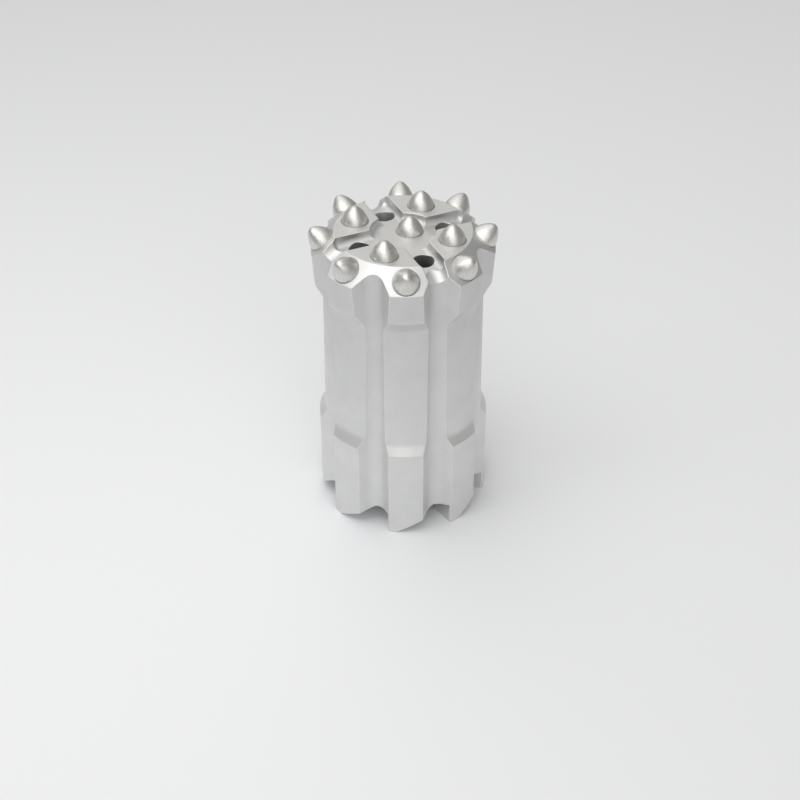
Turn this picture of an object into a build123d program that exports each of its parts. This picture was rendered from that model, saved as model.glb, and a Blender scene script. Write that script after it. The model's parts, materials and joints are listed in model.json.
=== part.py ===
"""Threaded retrac button bit for percussive rock drilling.

A one-piece steel body stands on the saw teeth of its skirt, face up.  The outside is turned, then
eight V flutes run its whole length.  The face has a sunken centre, four radial grooves with a
flushing hole in each, and blind sockets that hold the carbide buttons: a gauge row on the bevel,
a face row on the flat and one button beside the axis.

Millimetres, +Z towards the face, origin on the bit's axis in the plane of the tooth tips.
An azimuth is counted from -Y towards +X, so rib 0 faces -Y.
"""
import os
from math import cos, hypot, radians, sin, tan

from build123d import *

# Overall sizes
gauge_diameter = 102.0  # over the gauge buttons
face_height = 173.0  # tooth tips to the flat of the face
side_relief = 1.2  # the head stays this far inside the gauge

# Outside of the body, from the face down; widths and steps are counted along the radius
bevel_width = 12.4  # gauge bevel between the flat of the face and the head's side
gauge_angle = 40.0  # slope of the gauge bevel below the flat
head_depth = 28.4  # face to the lower edge of the head
head_taper = 1.2  # the head narrows by this much towards its lower edge
head_cone_drop = 7.8  # height of the cone under the head
waist_step = 4.6  # from the head's lower edge in to the waist
waist_taper = 0.8  # the waist widens by this much towards its foot
waist_foot_height = 62.0
skirt_step = 3.3  # from the foot of the waist out to the skirt
skirt_edge_drop = 6.4  # from the foot of the waist down to the skirt's upper edge
waist_fillet = 8.0  # hollow corner at both ends of the waist

# Flutes
flute_count = 8
flute_depth = 8.0  # from the widest part of the head in to the bottom of a flute
flute_angle = 96.0  # angle between its two walls
flute_bottom_radius = 8.0

# Saw teeth of the skirt, one under each rib
tooth_height = 12.4
tooth_face_azimuth = -12.4  # upright face, from the middle of the rib
tooth_tip_angle = 6.2  # flat tip, as an angle at the axis
tooth_ramp_angle = 28.0  # the ramp behind the tip, as an angle at the axis

# Bore for the drill rod, from the mouth up; the root of its rope thread has a radius of 25.5
socket_wall = 16.3  # bottom of a flute to the root of the thread
mouth_flare = 8.5  # the mouth is wider than the thread by this much all round
mouth_cone_height = 14.0
guide_clearance = 2.5  # the plain guide is wider than the thread by this much all round
guide_end_height = 30.0
thread_start_height = 34.0
thread_length = 76.0
relief_depth = 1.7  # the run-out is wider than the thread by this much all round
relief_length = 8.0
relief_step = 1.7  # height of the slopes at both ends of the run-out
bore_end_width = 13.5  # ring of the cone that closes the bore
bore_end_drop = 8.0  # height of that cone

# Sunken centre of the face
centre_radius = 18.0
centre_depth = 4.5
centre_fillet = 3.2

# Radial grooves and flushing holes
groove_count = 4
groove_azimuth = 22.5  # first groove, in a flute beside rib 0
groove_width = 14.5
groove_corner = 3.2  # at the foot of the walls and round the outer end
groove_depth = 5.4  # at the flushing holes
groove_fall = 4.0  # outward slope of the floor, in degrees
groove_end_radius = 38.5
run_out_width = 12.0  # ball-nosed cut from the groove's floor out to the flute
run_out_start = 34.0  # radius at which it leaves the floor
run_out_fall = 25.0  # outward slope of its bottom, in degrees
flushing_diameter = 11.6
flushing_radius = 26.6  # bit axis to the hole's axis, at the face
flushing_slope = 13.0  # lean of the hole, outwards and up

# Buttons
gauge_button_diameter = 14.5
gauge_button_protrusion = 9.2
gauge_button_depth = 12.5
face_button_diameter = 14.5
face_button_protrusion = 8.8
face_button_depth = 12.0
face_button_inset = 9.5  # from the edge of the flat in to the button's axis
face_button_count = 4
face_button_azimuth = -22.5
centre_button_spacing = 20.4  # its axis to the circle of the face buttons' axes
centre_button_azimuth = 150.0
nose_radius = 3.4
nose_shoulder = 0.5  # straight stretch of the shank above the seat
flank_lean = 16.0  # inward lean of the flank where it leaves the shank, in degrees
button_chamfer = 0.8
socket_clearance = 0.03
socket_chamfer = 0.4

# Worked out from the sizes above
rib_step = 360.0 / flute_count
head_top_radius = gauge_diameter / 2 - side_relief
flat_radius = head_top_radius - bevel_width
bevel_drop = bevel_width * tan(radians(gauge_angle))
head_edge_radius = head_top_radius - head_taper
head_edge_height = face_height - head_depth
waist_top_radius = head_edge_radius - waist_step
waist_foot_radius = waist_top_radius + waist_taper
skirt_radius = waist_foot_radius + skirt_step
skirt_edge_height = waist_foot_height - skirt_edge_drop
flute_root_radius = head_top_radius - flute_depth
thread_radius = flute_root_radius - socket_wall
mouth_radius = thread_radius + mouth_flare
guide_radius = thread_radius + guide_clearance
relief_radius = thread_radius + relief_depth
bore_end_radius = thread_radius - bore_end_width
face_button_radius = flat_radius - face_button_inset
thread_end_height = thread_start_height + thread_length
relief_end_height = thread_end_height + relief_length
bore_end_height = relief_end_height + bore_end_drop
centre_floor = face_height - centre_depth


def outward(azimuth):
    """Unit vector from the bit's axis towards an azimuth."""
    return Vector(sin(radians(azimuth)), -cos(radians(azimuth)), 0)


def seat_plane(azimuth, radius, height, lean=0.0):
    """Plane whose origin lies at a radius and height, with its normal leaning outwards from +Z."""
    away = outward(azimuth)
    normal = away * sin(radians(lean)) + Vector(0, 0, cos(radians(lean)))
    across = Vector(0, 0, 1).cross(away)
    return Plane(origin=away * radius + Vector(0, 0, height), x_dir=across, z_dir=normal)


def profile_plane(seat):
    """Plane through a seat's normal, in which the profile of a turned piece is drawn."""
    return Plane(seat.origin, x_dir=seat.x_dir, z_dir=-seat.y_dir)


def slope_plane(azimuth, radius, height, fall):
    """Plane across a cut that runs outwards and falls by an angle; y stands on the cut's bottom."""
    away = outward(azimuth)
    along = away * cos(radians(fall)) - Vector(0, 0, sin(radians(fall)))
    across = Vector(0, 0, 1).cross(away)
    return Plane(origin=away * radius + Vector(0, 0, height), x_dir=across, z_dir=along)


def button_arcs(diameter, protrusion):
    """Flank arc's radius and centre, and nose centre, of a ballistic button.

    In the plane of radius and height.  The flank arc starts at the shank with its inward lean
    and runs into the ball nose without a corner.
    """
    shank = Vector(diameter / 2, nose_shoulder)
    inward = Vector(cos(radians(flank_lean)), sin(radians(flank_lean)))
    nose = Vector(0, protrusion - nose_radius)
    gap = shank - nose
    flank_radius = (gap.dot(gap) - nose_radius**2) / (2 * (gap.dot(inward) - nose_radius))
    return flank_radius, shank - inward * flank_radius, nose


def gauge_seat_radius():
    """Radius of a gauge button's seat that puts its flank exactly on the gauge diameter."""
    flank_radius, centre, _ = button_arcs(gauge_button_diameter, gauge_button_protrusion)
    reach = flank_radius + centre.X * cos(radians(gauge_angle)) + centre.Y * sin(radians(gauge_angle))
    return gauge_diameter / 2 - reach


def gauge_seat(azimuth):
    """Seat of one gauge button, on the gauge bevel."""
    radius = gauge_seat_radius()
    height = face_height - (radius - flat_radius) * tan(radians(gauge_angle))
    return seat_plane(azimuth, radius, height, gauge_angle)


# Seats of all buttons by name: plane, diameter, protrusion and depth
seats = {}
size = (gauge_button_diameter, gauge_button_protrusion, gauge_button_depth)
for number in range(flute_count):
    seats[f"gauge_button_{number + 1}"] = (gauge_seat(number * rib_step), *size)
size = (face_button_diameter, face_button_protrusion, face_button_depth)
for number in range(face_button_count):
    turn = face_button_azimuth + number * 360.0 / face_button_count
    seats[f"face_button_{number + 1}"] = (seat_plane(turn, face_button_radius, face_height), *size)
centre_seat = seat_plane(centre_button_azimuth, face_button_radius - centre_button_spacing, centre_floor)
seats["centre_button"] = (centre_seat, *size)


# Room cut by one groove, along +X: a flat-bottomed slot out of the sunken centre, whose floor
# falls gently past the flushing hole, and a ball-nosed run-out from its floor into the flute
floor_slope = tan(radians(groove_fall))
floor_top = face_height - groove_depth + flushing_radius * floor_slope
room_top = face_height + groove_depth
with BuildPart() as groove:
    with BuildSketch(Plane.XZ):
        Polygon(
            (centre_radius / 2, floor_top - centre_radius / 2 * floor_slope),
            (groove_end_radius, floor_top - groove_end_radius * floor_slope),
            (groove_end_radius, room_top),
            (centre_radius / 2, room_top),
            align=None,
        )
    extrude(amount=groove_width / 2, both=True)
    outer_edges = groove.edges().filter_by(lambda e: e.center().X > centre_radius)
    fillet(outer_edges.filter_by(lambda e: e.center().Z < face_height), groove_corner)
    run_out_height = floor_top - run_out_start * floor_slope
    with BuildSketch(slope_plane(90, run_out_start, run_out_height, run_out_fall)):
        with Locations((0, run_out_width / 2)):
            Circle(run_out_width / 2)
    extrude(amount=gauge_diameter / 2 - centre_radius)

# One-piece body
with BuildPart() as bit_body:
    # Turned outside
    with BuildSketch(Plane.XZ) as outside:
        with BuildLine():
            Polyline(
                (0, 0),
                (skirt_radius, 0),
                (skirt_radius, skirt_edge_height),
                (waist_foot_radius, waist_foot_height),
                (waist_top_radius, head_edge_height - head_cone_drop),
                (head_edge_radius, head_edge_height),
                (head_top_radius, face_height - bevel_drop),
                (flat_radius, face_height),
                (0, face_height),
                close=True,
            )
        make_face()
        corners = outside.vertices().filter_by(lambda v: flute_root_radius < v.X < waist_foot_radius + 0.1)
        fillet(corners, waist_fillet)
    revolve(axis=Axis.Z)

    # V flutes with a round bottom, from the face to the teeth
    flute_half = radians(flute_angle / 2)
    flute_apex = flute_root_radius - flute_bottom_radius * (1 / sin(flute_half) - 1)
    flute_reach = gauge_diameter / 2 - flute_apex
    with BuildSketch(Plane.XY) as flutes:
        with PolarLocations(flute_apex, flute_count, start_angle=-90 + rib_step / 2):
            Polygon(
                (0, 0),
                (flute_reach, -flute_reach * tan(flute_half)),
                (flute_reach, flute_reach * tan(flute_half)),
                align=None,
            )
        roots = flutes.vertices().filter_by(lambda v: hypot(v.X, v.Y) < flute_apex + 0.1)
        fillet(roots, flute_bottom_radius)
    extrude(amount=face_height, mode=Mode.SUBTRACT)

    # Stepped bore with its thread relief and conical end
    with BuildSketch(Plane.XZ) as bore:
        with BuildLine():
            Polyline(
                (0, 0),
                (mouth_radius, 0),
                (guide_radius, mouth_cone_height),
                (guide_radius, guide_end_height),
                (thread_radius, thread_start_height),
                (thread_radius, thread_end_height),
                (relief_radius, thread_end_height + relief_step),
                (relief_radius, relief_end_height - relief_step),
                (thread_radius, relief_end_height),
                (bore_end_radius, bore_end_height),
                (0, bore_end_height),
                close=True,
            )
        make_face()
    revolve(axis=Axis.Z, mode=Mode.SUBTRACT)

    # Notches between the saw teeth: every line of them points at the axis
    notch_span = rib_step - tooth_tip_angle
    notch_middle = tooth_face_azimuth + tooth_tip_angle + notch_span / 2
    notch_face = tan(radians(notch_span / 2))
    notch_ramp_end = tan(radians(tooth_ramp_angle - notch_span / 2))
    for number in range(flute_count):
        middle = notch_middle + number * rib_step
        for reach in (guide_radius / 2, gauge_diameter):
            with BuildSketch(slope_plane(middle, reach, 0, 0)):
                with BuildLine():
                    Polyline(
                        (-notch_face * reach, 0),
                        (notch_ramp_end * reach, tooth_height),
                        (notch_face * reach, tooth_height),
                        (notch_face * reach, -tooth_height),
                        (-notch_face * reach, -tooth_height),
                        close=True,
                    )
                make_face()
        loft(ruled=True, mode=Mode.SUBTRACT)

    # Sunken centre of the face
    with BuildSketch(Plane.XZ) as centre:
        with Locations((0, centre_floor)):
            Rectangle(centre_radius, 2 * centre_depth, align=(Align.MIN, Align.MIN))
        fillet(centre.vertices().sort_by(Axis.Y)[:2].sort_by(Axis.X)[-1], centre_fillet)
    revolve(axis=Axis.Z, mode=Mode.SUBTRACT)

    # Radial grooves
    groove_turn = 360.0 / groove_count
    with PolarLocations(0, groove_count, start_angle=groove_azimuth - 90):
        add(groove.part, mode=Mode.SUBTRACT)

    # Flushing holes from the end of the bore to the grooves
    flushing_reach = face_height - relief_end_height
    for number in range(groove_count):
        turn = groove_azimuth + number * groove_turn
        with BuildSketch(seat_plane(turn, flushing_radius, face_height, flushing_slope)):
            Circle(flushing_diameter / 2)
        extrude(amount=-flushing_reach / cos(radians(flushing_slope)), mode=Mode.SUBTRACT)

    # Blind sockets, flat at the bottom and chamfered at the mouth, in which the buttons seat
    for seat, diameter, _, depth in seats.values():
        wall = diameter / 2 + socket_clearance
        with BuildSketch(profile_plane(seat)):
            Polygon(
                (0, -depth),
                (wall, -depth),
                (wall, -socket_chamfer),
                (wall + 2 * socket_chamfer, socket_chamfer),
                (0, socket_chamfer),
                align=None,
            )
        revolve(axis=Axis(seat.origin, seat.z_dir), mode=Mode.SUBTRACT)

bit_body.part.label = "bit_body"


def make_button(seat, diameter, protrusion, depth):
    """Ballistic carbide button, revolved about its seat's normal."""
    radius = diameter / 2
    _, flank_centre, nose = button_arcs(diameter, protrusion)
    blend = nose + (nose - flank_centre).normalized() * nose_radius
    flank_start = Vector(-sin(radians(flank_lean)), cos(radians(flank_lean)))
    with BuildPart() as button:
        with BuildSketch(profile_plane(seat)):
            with BuildLine():
                foot = Polyline(
                    (0, protrusion),
                    (0, -depth),
                    (radius - button_chamfer, -depth),
                    (radius, button_chamfer - depth),
                    (radius, nose_shoulder),
                )
                flank = TangentArc(foot @ 1, blend, tangent=flank_start)
                TangentArc(flank @ 1, (0, protrusion), tangent=flank % 1)
            make_face()
        revolve(axis=Axis(seat.origin, seat.z_dir))
    return button


# Carbide buttons
buttons = {name: make_button(*values) for name, values in seats.items()}

os.makedirs("parts", exist_ok=True)
export_step(bit_body.part, "parts/bit_body.step")
for name, button in buttons.items():
    button.part.label = name
    export_step(button.part, f"parts/{name}.step")
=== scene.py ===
"""Looks and studio for a threaded retrac button bit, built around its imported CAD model.

The steel body keeps its CAD shape and gets a shot-blasted, silver-coated finish with a darker
phosphated bore.  The carbide buttons keep theirs and get a ground finish.  The left-hand rope
thread in the bore is a surface of its own.  Metres, +Z towards the face, in the CAD's frame.
"""
import json
from math import cos, pi, radians, sin

import bpy
import numpy as np
from mathutils import Matrix, Vector


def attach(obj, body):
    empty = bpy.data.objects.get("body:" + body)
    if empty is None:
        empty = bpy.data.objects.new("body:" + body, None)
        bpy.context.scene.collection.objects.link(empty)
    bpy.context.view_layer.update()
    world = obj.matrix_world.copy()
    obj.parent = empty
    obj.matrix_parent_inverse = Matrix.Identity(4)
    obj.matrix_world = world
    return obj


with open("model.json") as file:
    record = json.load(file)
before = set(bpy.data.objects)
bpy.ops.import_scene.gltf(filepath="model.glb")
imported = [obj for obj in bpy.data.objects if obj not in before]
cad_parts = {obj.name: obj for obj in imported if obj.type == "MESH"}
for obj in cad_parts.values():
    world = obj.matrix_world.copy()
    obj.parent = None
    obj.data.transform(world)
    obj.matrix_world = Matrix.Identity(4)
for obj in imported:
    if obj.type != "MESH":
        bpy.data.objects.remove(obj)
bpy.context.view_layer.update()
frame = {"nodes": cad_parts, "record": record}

bl_info = {
    "name": "Retrac Button Bit",
    "version": (1, 0, 0),
    "blender": (4, 5, 0),
    "location": "3D View > Sidebar > Button Bit",
    "description": "Finishes, rope thread and studio for a threaded button bit",
    "category": "Object",
}

MM = 0.001

# Mount of the drill rod in the bore, which the rope thread fills from end to end
thread_mount = next(m for m in frame["record"]["mounts"] if m["name"] == "rod_thread")
thread_middle = thread_mount["pos_m"][2]
thread_half = thread_mount["dims"]["length_mm"] * MM / 2

# Ridge of the rope thread: its width as a share of the pitch, how deep its foot sinks into the
# wall, and the points across its section and along one turn
RIDGE_SHARE = 0.86
RIDGE_FOOT = 0.3 * MM
SECTION_POINTS = 19
TURN_POINTS = 96

# Where the bore's finish ends and the outside's begins: distances from the axis just outside the
# bore's plain guide, and heights below the mouths of the flushing holes, up to which their walls
# get the bore's dark colour as painted shade
INSIDE_RADIUS = 28.6 * MM
OUTSIDE_RADIUS = 29.6 * MM
HOLE_SHADE_FULL = 152 * MM
HOLE_SHADE_END = 160 * MM

# Heights between which the body's colour gets darker towards the head: painted shade
HEAD_SHADE_BOTTOM = 35 * MM
HEAD_SHADE_TOP = 150 * MM

# Sizes of the patterns.  The shot's dimples and the grinding marks are finer on the real bit, and
# drawn this coarse to show.  A mark's width is this share of its length
EDGE_RADIUS = 0.6 * MM
CLOUD_SIZE = 14 * MM
DIMPLE_SIZE = 0.6 * MM
OIL_SIZE = 5 * MM
HAZE_SIZE = 2.5 * MM
MARK_WIDTH = 0.7 * MM
MARK_SHARE = 0.12

# The middle part of a noise's range, where most of its values lie
NOISE_LOW = 0.3
NOISE_HIGH = 0.7

# Half the side of the floor in metres.  It darkens between two distances from the bit, also in
# metres, down to this share of its colour
FLOOR_REACH = 12.0
FADE_START = 0.1
FADE_END = 3.4
FADED_FLOOR = 0.5

# Faintly warm white of the room, and the elevations in degrees between which the brightness of
# the horizon turns into that of the upper part
ROOM_TINT = (1.0, 0.993, 0.962, 1.0)
HORIZON_ELEVATION = 3
UPPER_ELEVATION = 22

# Broad soft lights of the room: azimuth from straight in front towards +X, elevation, outer and
# inner angle of the soft edge, all in degrees, and brightness
BRIGHT_WALLS = (
    (6, 27, 40, 5, 0.85),
    (-15, 37, 35, 5, 0.4),
    (-155, 42, 42, 5, 0.78),
    (0, 90, 40, 5, 0.78),
)

# Square soft boxes: azimuth and elevation in degrees, distance and side in metres.  Both face a
# point on the bit's axis
KEY_BOX = (-40, 65, 0.7, 0.5)
SIDE_BOX = (-80, 50, 1.1, 0.7)
LIT_POINT = (0, 0, 60 * MM)

# Width of the camera's sensor in millimetres
SENSOR_WIDTH = 36


def linear(hex_colour):
    """sRGB hex colour as linear red, green, blue and alpha."""
    parts = [int(hex_colour[i:i + 2], 16) / 255 for i in (1, 3, 5)]
    return [c / 12.92 if c <= 0.04045 else ((c + 0.055) / 1.055) ** 2.4 for c in parts] + [1.0]


class ThreadSizes(bpy.types.PropertyGroup):
    """Sizes of the rope thread in the bore"""

    root_radius: bpy.props.FloatProperty(
        name="Root radius", description="Bit axis to the wall at the root of the thread",
        default=thread_mount["dims"]["r_mm"] * MM, unit="LENGTH")
    ridge_height: bpy.props.FloatProperty(
        name="Ridge height", description="How far the rounded crest stands proud of the wall",
        default=1.9 * MM, unit="LENGTH")
    pitch: bpy.props.FloatProperty(
        name="Pitch", description="Advance of the single-start left-hand helix in one turn",
        default=12.7 * MM, unit="LENGTH")
    bottom: bpy.props.FloatProperty(
        name="Bottom", description="Height where the thread starts above the tooth tips",
        default=thread_middle - thread_half, unit="LENGTH")
    top: bpy.props.FloatProperty(
        name="Top", description="Height where the thread runs out below the relief",
        default=thread_middle + thread_half, unit="LENGTH")


class FinishColours(bpy.types.PropertyGroup):
    """Colours of the finishes"""

    steel: bpy.props.FloatVectorProperty(
        name="Blasted steel", description="Silver coat on the shot-blasted body",
        subtype="COLOR", size=4, min=0, max=1, default=linear("#E0E0E0"))
    # Colour of the painted highlight that brightens the rounded edges
    edge: bpy.props.FloatVectorProperty(
        name="Painted edge highlight", description="Coat rubbed bright along the edges",
        subtype="COLOR", size=4, min=0, max=1, default=linear("#FBFBFA"))
    # Also painted shade on the walls of the flushing holes
    bore: bpy.props.FloatVectorProperty(
        name="Phosphated bore", description="Machined and phosphated wall of the bore",
        subtype="COLOR", size=4, min=0, max=1, default=linear("#666665"))
    carbide: bpy.props.FloatVectorProperty(
        name="Ground carbide", description="Cemented carbide of the buttons",
        subtype="COLOR", size=4, min=0, max=1, default=linear("#DCDBD8"))
    floor: bpy.props.FloatVectorProperty(
        name="Floor", description="Plain paper under the bit",
        subtype="COLOR", size=4, min=0, max=1, default=linear("#ECEDF0"))


class StudioSettings(bpy.types.PropertyGroup):
    """Camera and light"""

    elevation: bpy.props.FloatProperty(
        name="Elevation", description="Camera above the horizon",
        default=radians(36.93), subtype="ANGLE")
    turn: bpy.props.FloatProperty(
        name="Turn", description="Camera round the bit, from straight in front of a rib",
        default=radians(-1.9), subtype="ANGLE")
    distance: bpy.props.FloatProperty(
        name="Distance", description="Camera to the point that it aims at",
        default=906.4 * MM, unit="LENGTH")
    aim_side: bpy.props.FloatProperty(
        name="Aim sideways", description="Aimed point beside the bit's axis",
        default=-1.75 * MM, unit="LENGTH")
    aim_height: bpy.props.FloatProperty(
        name="Aim height", description="Aimed point above the tooth tips",
        default=59.2 * MM, unit="LENGTH")
    focal_length: bpy.props.FloatProperty(
        name="Focal length", description="Lens in millimetres on a 36 mm wide sensor",
        default=70.55, min=10)
    key_power: bpy.props.FloatProperty(
        name="Key light", description="Power of the soft box above the front left, in watts",
        default=0.8, min=0)
    side_power: bpy.props.FloatProperty(
        name="Side light", description="Power of the soft box on the left, in watts",
        default=1.5, min=0)
    room: bpy.props.FloatProperty(
        name="Room", description="Brightness of the room's upper part, without its bright walls",
        default=0.34, min=0)
    horizon: bpy.props.FloatProperty(
        name="Horizon", description="Brightness of the room where the floor ends",
        default=0.31, min=0)
    walls: bpy.props.FloatProperty(
        name="Bright walls", description="Strength of all the broad soft lights of the room",
        default=1.0, min=0)


def add_node(tree, kind, inputs=None, **settings):
    """One shader node with its settings; an input is a value or another node's output socket."""
    made = tree.nodes.new(kind)
    for name, value in settings.items():
        setattr(made, name, value)
    for name, value in (inputs or {}).items():
        if isinstance(value, bpy.types.NodeSocket):
            tree.links.new(value, made.inputs[name])
        else:
            made.inputs[name].default_value = value
    return made


def new_material(name):
    """Empty node material, its tree and its principled shader."""
    material = bpy.data.materials.new(name)
    material.use_nodes = True
    tree = material.node_tree
    return material, tree, tree.nodes["Principled BSDF"]


def blasted_steel(colours):
    """Alloy steel body, shot-blasted and silver-coated, with a machined and phosphated bore.

    The eye sees an even, matt pale grey with a very fine grain, broad soft reflections and no
    mirror image.  Handling leaves faint cloudy patches, and a painted highlight brightens the
    edges.  The bore is darker, and the walls of the flushing holes get its colour as painted
    shade.
    """
    material, tree, shader = new_material("blasted_steel")
    place = add_node(tree, "ShaderNodeTexCoord").outputs["Object"]

    # Inside of the bore, phosphated, and of the flushing holes, whose walls get the bore's dark
    # colour as painted shade: near the axis and below their mouths
    axes = add_node(tree, "ShaderNodeSeparateXYZ", {"Vector": place})
    flat_place = add_node(tree, "ShaderNodeCombineXYZ", {
        "X": axes.outputs["X"], "Y": axes.outputs["Y"]})
    radius = add_node(tree, "ShaderNodeVectorMath", {0: flat_place.outputs[0]}, operation="LENGTH")
    near_axis = add_node(tree, "ShaderNodeMapRange", {
        "Value": radius.outputs["Value"], "From Min": INSIDE_RADIUS, "From Max": OUTSIDE_RADIUS,
        "To Min": 1.0, "To Max": 0.0})
    below_mouths = add_node(tree, "ShaderNodeMapRange", {
        "Value": axes.outputs["Z"], "From Min": HOLE_SHADE_FULL, "From Max": HOLE_SHADE_END,
        "To Min": 1.0, "To Max": 0.0})
    # Real phosphated bore, and painted shade on the walls of the flushing holes
    bore_and_hole_shade = add_node(tree, "ShaderNodeMath", {
        0: near_axis.outputs[0], 1: below_mouths.outputs[0]}, operation="MULTIPLY")
    finish = add_node(tree, "ShaderNodeMix", {
        "Factor": bore_and_hole_shade.outputs[0], "A": tuple(colours.steel), "B": tuple(colours.bore)},
        data_type="RGBA")

    # Cloudy patches of handling, and the shot's dimples
    clouds = add_node(tree, "ShaderNodeTexNoise", {
        "Vector": place, "Scale": 1 / CLOUD_SIZE, "Detail": 4.0, "Roughness": 0.6})
    dimples = add_node(tree, "ShaderNodeTexNoise", {
        "Vector": place, "Scale": 1 / DIMPLE_SIZE, "Detail": 3.0, "Roughness": 0.55})
    shade = add_node(tree, "ShaderNodeMapRange", {
        "Value": clouds.outputs["Fac"], "From Min": NOISE_LOW, "From Max": NOISE_HIGH,
        "To Min": 0.955, "To Max": 1.0})
    grain = add_node(tree, "ShaderNodeMapRange", {
        "Value": dimples.outputs["Fac"], "From Min": NOISE_LOW, "From Max": NOISE_HIGH,
        "To Min": 0.94, "To Max": 1.0})
    mottle = add_node(tree, "ShaderNodeMath", {
        0: shade.outputs[0], 1: grain.outputs[0]}, operation="MULTIPLY")

    # Painted shade: the colour gets a little darker towards the head
    head_shade = add_node(tree, "ShaderNodeMapRange", {
        "Value": axes.outputs["Z"], "From Min": HEAD_SHADE_BOTTOM, "From Max": HEAD_SHADE_TOP,
        "To Min": 1.05, "To Max": 0.94}, interpolation_type="SMOOTHSTEP")
    # The real mottle of the coat, times the painted shade towards the head
    coat = add_node(tree, "ShaderNodeMath", {
        0: mottle.outputs[0], 1: head_shade.outputs[0]}, operation="MULTIPLY")
    tone = add_node(tree, "ShaderNodeVectorMath", {
        0: finish.outputs["Result"], "Scale": coat.outputs[0]}, operation="SCALE")

    # Blasting rounds every edge.  Where the rounded normal leaves the face's own, there is an
    # edge, and there the colour is mixed towards a painted highlight
    soft_edge = add_node(tree, "ShaderNodeBevel", {"Radius": EDGE_RADIUS}, samples=8)
    face = add_node(tree, "ShaderNodeNewGeometry")
    bend = add_node(tree, "ShaderNodeVectorMath", {
        0: soft_edge.outputs["Normal"], 1: face.outputs["Normal"]}, operation="DOT_PRODUCT")
    edge = add_node(tree, "ShaderNodeMapRange", {
        "Value": bend.outputs["Value"], "From Min": 0.99, "From Max": 0.9,
        "To Min": 0.0, "To Max": 0.7})
    painted = add_node(tree, "ShaderNodeMix", {
        "Factor": edge.outputs[0], "A": tone.outputs[0], "B": tuple(colours.edge)},
        data_type="RGBA")
    tree.links.new(painted.outputs["Result"], shader.inputs["Base Color"])

    rough = add_node(tree, "ShaderNodeMapRange", {
        "Value": clouds.outputs["Fac"], "From Min": NOISE_LOW, "From Max": NOISE_HIGH,
        "To Min": 0.53, "To Max": 0.47})
    tree.links.new(rough.outputs[0], shader.inputs["Roughness"])
    shader.inputs["Metallic"].default_value = 1.0

    bump = add_node(tree, "ShaderNodeBump", {
        "Height": dimples.outputs["Fac"], "Strength": 0.45, "Distance": 0.05 * MM,
        "Normal": soft_edge.outputs["Normal"]})
    tree.links.new(bump.outputs["Normal"], shader.inputs["Normal"])
    return material


def phosphated_thread(colours):
    """Machined alloy steel with a thin zinc phosphate coat and a trace of oil.

    The eye sees a grey darker than the outside, with faint satin patches of oil.
    """
    material, tree, shader = new_material("phosphated_thread")
    place = add_node(tree, "ShaderNodeTexCoord").outputs["Object"]
    oil = add_node(tree, "ShaderNodeTexNoise", {
        "Vector": place, "Scale": 1 / OIL_SIZE, "Detail": 4.0})
    rough = add_node(tree, "ShaderNodeMapRange", {
        "Value": oil.outputs["Fac"], "To Min": 0.34, "To Max": 0.46})
    tree.links.new(rough.outputs[0], shader.inputs["Roughness"])
    shader.inputs["Base Color"].default_value = tuple(colours.bore)
    shader.inputs["Metallic"].default_value = 1.0
    return material


def ground_carbide(colours):
    """Cemented carbide, centreless-ground and tumbled.

    The eye sees a satin grey whose highlights are drawn out and broken up by fine marks that run
    from the tip down the flanks.
    """
    material, tree, shader = new_material("ground_carbide")
    place = add_node(tree, "ShaderNodeTexCoord").outputs["Object"]

    # Haze of tumbling
    haze = add_node(tree, "ShaderNodeTexNoise", {
        "Vector": place, "Scale": 1 / HAZE_SIZE, "Detail": 5.0, "Roughness": 0.65})
    rough = add_node(tree, "ShaderNodeMapRange", {
        "Value": haze.outputs["Fac"], "From Min": NOISE_LOW, "From Max": NOISE_HIGH,
        "To Min": 0.28, "To Max": 0.42})
    tree.links.new(rough.outputs[0], shader.inputs["Roughness"])

    # Grinding marks, about eight times as long as wide
    upright = add_node(tree, "ShaderNodeVectorMath", {
        0: place, 1: (1.0, 1.0, MARK_SHARE)}, operation="MULTIPLY")
    marks = add_node(tree, "ShaderNodeTexNoise", {
        "Vector": upright.outputs[0], "Scale": 1 / MARK_WIDTH, "Detail": 3.0, "Roughness": 0.6})
    bump = add_node(tree, "ShaderNodeBump", {
        "Height": marks.outputs["Fac"], "Strength": 0.6, "Distance": 0.25 * MM})
    tree.links.new(bump.outputs["Normal"], shader.inputs["Normal"])
    shade = add_node(tree, "ShaderNodeMapRange", {
        "Value": marks.outputs["Fac"], "From Min": 0.35, "From Max": 0.65,
        "To Min": 0.89, "To Max": 1.04})
    tone = add_node(tree, "ShaderNodeVectorMath", {
        0: tuple(colours.carbide)[:3], "Scale": shade.outputs[0]}, operation="SCALE")
    tree.links.new(tone.outputs[0], shader.inputs["Base Color"])
    shader.inputs["Metallic"].default_value = 1.0
    return material


def pale_paper(colours):
    """Uncoated paper of the floor.

    The eye sees plain pale paper without any sheen.  The studio's light falls off away from the
    bit, down to the brightness of the horizon.
    """
    material, tree, shader = new_material("pale_paper")
    place = add_node(tree, "ShaderNodeTexCoord").outputs["Object"]
    away = add_node(tree, "ShaderNodeVectorMath", {0: place}, operation="LENGTH")
    fade = add_node(tree, "ShaderNodeMapRange", {
        "Value": away.outputs["Value"], "From Min": FADE_START, "From Max": FADE_END,
        "To Min": 1.0, "To Max": FADED_FLOOR}, interpolation_type="SMOOTHSTEP")
    tone = add_node(tree, "ShaderNodeVectorMath", {
        0: tuple(colours.floor)[:3], "Scale": fade.outputs[0]}, operation="SCALE")
    tree.links.new(tone.outputs[0], shader.inputs["Base Color"])
    shader.inputs["Roughness"].default_value = 0.9
    shader.inputs["Specular IOR Level"].default_value = 0.0
    return material


def dress(node, material):
    """Give a CAD node one material in place of its plain one."""
    node.data.materials.clear()
    node.data.materials.append(material)


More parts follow.
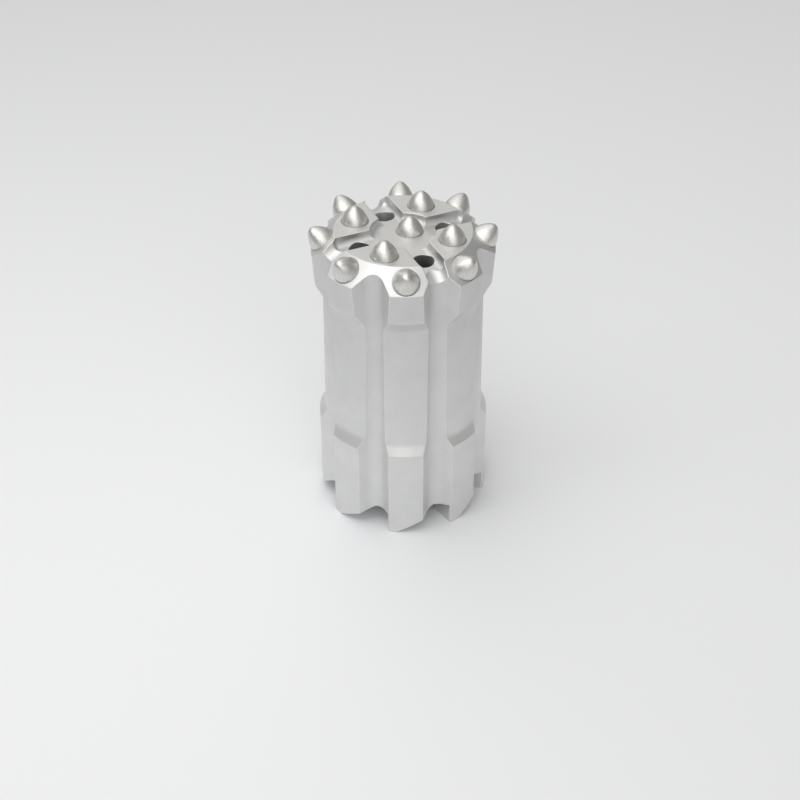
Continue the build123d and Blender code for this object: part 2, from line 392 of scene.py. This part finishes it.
def grid_mesh(name, points):
    """Mesh of a grid of points (rows, columns, 3).

    Quads join each point to the next row and the next column.  The last column joins the first,
    and a cap closes the first and the last row.
    """
    rows, columns = points.shape[:2]
    row, column = np.meshgrid(np.arange(rows - 1), np.arange(columns), indexing="ij")
    after = (column + 1) % columns
    quads = np.stack([
        row * columns + column,
        (row + 1) * columns + column,
        (row + 1) * columns + after,
        row * columns + after,
    ], -1).reshape(-1, 4)
    caps = [list(range(columns)), list(range(rows * columns - 1, (rows - 1) * columns - 1, -1))]
    mesh = bpy.data.meshes.new(name)
    mesh.from_pydata(points.reshape(-1, 3), [], quads.tolist() + caps)
    mesh.validate()
    mesh.polygons.foreach_set("use_smooth", np.ones(len(mesh.polygons), bool))
    mesh.update()
    made = bpy.data.objects.new(name, mesh)
    bpy.context.scene.collection.objects.link(made)
    return made


def rope_ridge(sizes):
    """Rounded ridge of the left-hand rope thread, closed all round.

    One parameter runs along the helix, whose angle falls as its height rises.  The other runs
    round the section: a raised cosine from root to root, closed by a line sunk in the wall.  At
    both ends the ridge rises from nothing over half a turn, with a sine's square.
    """
    turns = (sizes.top - sizes.bottom) / sizes.pitch
    along = np.linspace(0, 1, int(turns * TURN_POINTS) + 1)[:, None]
    angle = -2 * pi * turns * along
    width = RIDGE_SHARE * sizes.pitch
    across = np.linspace(-0.5, 0.5, SECTION_POINTS)[None, :]
    swell = np.sin(np.clip(turns * np.minimum(along, 1 - along), 0, 0.5) * pi) ** 2
    height = sizes.ridge_height * swell * (0.5 + 0.5 * np.cos(2 * pi * across))
    foot = np.full((len(along), 2), sizes.root_radius + RIDGE_FOOT)
    radius = np.concatenate([sizes.root_radius - height, foot], 1)
    offset = np.concatenate([across, [[0.5, -0.5]]], 1) * width
    level = sizes.bottom + width / 2 + (sizes.top - sizes.bottom - width) * along + offset
    points = np.stack([radius * np.sin(angle), -radius * np.cos(angle), level], -1)
    return grid_mesh("rope_thread", points)


def around(azimuth, elevation, distance):
    """Place at a distance from the origin, at two angles in degrees.

    The azimuth is counted from straight in front towards +X.
    """
    turn, rise = radians(azimuth), radians(elevation)
    flat = distance * cos(rise)
    return flat * sin(turn), -flat * cos(turn), distance * sin(rise)


def studio_floor():
    """Square floor that the bit stands on."""
    reach = FLOOR_REACH
    corners = [(-reach, -reach, 0), (reach, -reach, 0), (reach, reach, 0), (-reach, reach, 0)]
    mesh = bpy.data.meshes.new("floor")
    mesh.from_pydata(corners, [], [(0, 1, 2, 3)])
    made = bpy.data.objects.new("floor", mesh)
    bpy.context.scene.collection.objects.link(made)
    return made


def studio_room(studio):
    """World of the room: a horizon that turns into the upper part, plus each bright wall.

    A wall's brightness depends on the angle to its middle, with a soft step from the outer angle,
    where it is nothing, to the inner one, where it is full.
    """
    world = bpy.data.worlds.new("studio_room")
    bpy.context.scene.world = world
    world.use_nodes = True
    tree = world.node_tree
    towards = add_node(tree, "ShaderNodeTexCoord").outputs["Generated"]
    up = add_node(tree, "ShaderNodeSeparateXYZ", {"Vector": towards})
    light = add_node(tree, "ShaderNodeMapRange", {
        "Value": up.outputs["Z"], "From Min": sin(radians(HORIZON_ELEVATION)),
        "From Max": sin(radians(UPPER_ELEVATION)), "To Min": studio.horizon,
        "To Max": studio.room}, interpolation_type="SMOOTHSTEP").outputs[0]
    for azimuth, elevation, outer, inner, level in BRIGHT_WALLS:
        facing = add_node(tree, "ShaderNodeVectorMath", {
            0: towards, 1: around(azimuth, elevation, 1.0)}, operation="DOT_PRODUCT")
        glow = add_node(tree, "ShaderNodeMapRange", {
            "Value": facing.outputs["Value"], "From Min": cos(radians(outer)),
            "From Max": cos(radians(inner)), "To Min": 0.0,
            "To Max": level * studio.walls}, interpolation_type="SMOOTHSTEP")
        light = add_node(tree, "ShaderNodeMath", {
            0: light, 1: glow.outputs[0]}, operation="ADD").outputs[0]
    background = tree.nodes["Background"]
    background.inputs["Color"].default_value = ROOM_TINT
    tree.links.new(light, background.inputs["Strength"])


def soft_box(name, azimuth, elevation, distance, side, power):
    """Square area light round the bit, facing the lit point."""
    light = bpy.data.lights.new(name, "AREA")
    light.shape = "SQUARE"
    light.size = side
    light.energy = power
    made = bpy.data.objects.new(name, light)
    made.location = around(azimuth, elevation, distance)
    made.rotation_mode = "QUATERNION"
    made.rotation_quaternion = (Vector(LIT_POINT) - made.location).to_track_quat("-Z", "Y")
    bpy.context.scene.collection.objects.link(made)


def photo_camera(studio):
    """Camera at the photo's angle, at a distance from the point that it aims at."""
    tilt = studio.elevation
    spin = Matrix.Rotation(studio.turn, 3, "Z")
    aim = spin @ Vector((studio.aim_side, 0, studio.aim_height))
    forward = spin @ Vector((0, cos(tilt), -sin(tilt)))
    lens = bpy.data.cameras.new("photo_camera")
    lens.lens = studio.focal_length
    lens.sensor_width = SENSOR_WIDTH
    made = bpy.data.objects.new("photo_camera", lens)
    made.location = aim - forward * studio.distance
    made.rotation_mode = "QUATERNION"
    made.rotation_quaternion = forward.to_track_quat("-Z", "Y")
    bpy.context.scene.collection.objects.link(made)
    return made


class BIT_OT_body(bpy.types.Operator):
    """Give the steel body its shot-blasted finish"""

    bl_idname = "bit.body"
    bl_label = "Finish the body"

    def execute(self, context):
        dress(frame["nodes"]["bit_body"], blasted_steel(context.scene.bit_colours))
        return {"FINISHED"}


class BIT_OT_buttons(bpy.types.Operator):
    """Give all carbide buttons their ground finish"""

    bl_idname = "bit.buttons"
    bl_label = "Finish the buttons"

    def execute(self, context):
        carbide = ground_carbide(context.scene.bit_colours)
        for name, node in frame["nodes"].items():
            if "button" in name:
                dress(node, carbide)
        return {"FINISHED"}


class BIT_OT_thread(bpy.types.Operator):
    """Make the left-hand rope thread in the bore"""

    bl_idname = "bit.thread"
    bl_label = "Make the rope thread"

    def execute(self, context):
        ridge = rope_ridge(context.scene.bit_thread)
        ridge.data.materials.append(phosphated_thread(context.scene.bit_colours))
        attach(ridge, "root")
        return {"FINISHED"}


class BIT_OT_studio(bpy.types.Operator):
    """Set up the floor, the lights and the camera"""

    bl_idname = "bit.studio"
    bl_label = "Set up the studio"

    def execute(self, context):
        scene = context.scene
        studio = scene.bit_studio
        scene.view_settings.view_transform = "Standard"
        floor = studio_floor()
        floor.data.materials.append(pale_paper(scene.bit_colours))
        studio_room(studio)
        soft_box("key_box", *KEY_BOX, studio.key_power)
        soft_box("side_box", *SIDE_BOX, studio.side_power)
        scene.camera = photo_camera(studio)
        return {"FINISHED"}


class BIT_PT_panel(bpy.types.Panel):
    """Sizes, colours and steps of the button bit"""

    bl_idname = "BIT_PT_panel"
    bl_label = "Button Bit"
    bl_space_type = "VIEW_3D"
    bl_region_type = "UI"
    bl_category = "Button Bit"

    def draw(self, context):
        scene = context.scene
        groups = {
            "Thread": scene.bit_thread,
            "Finishes": scene.bit_colours,
            "Studio": scene.bit_studio,
        }
        for title, group in groups.items():
            box = self.layout.box()
            box.label(text=title)
            for name in group.__annotations__:
                box.prop(group, name)
        for step in STEPS:
            self.layout.operator(step.bl_idname)


STEPS = (BIT_OT_body, BIT_OT_buttons, BIT_OT_thread, BIT_OT_studio)
CLASSES = (ThreadSizes, FinishColours, StudioSettings, *STEPS, BIT_PT_panel)


def register():
    for cls in CLASSES:
        bpy.utils.register_class(cls)
    bpy.types.Scene.bit_thread = bpy.props.PointerProperty(type=ThreadSizes)
    bpy.types.Scene.bit_colours = bpy.props.PointerProperty(type=FinishColours)
    bpy.types.Scene.bit_studio = bpy.props.PointerProperty(type=StudioSettings)


def unregister():
    del bpy.types.Scene.bit_studio
    del bpy.types.Scene.bit_colours
    del bpy.types.Scene.bit_thread
    for cls in reversed(CLASSES):
        bpy.utils.unregister_class(cls)


def main():
    register()
    bpy.ops.bit.body()
    bpy.ops.bit.buttons()
    bpy.ops.bit.thread()
    bpy.ops.bit.studio()


if __name__ == "__main__":
    main()
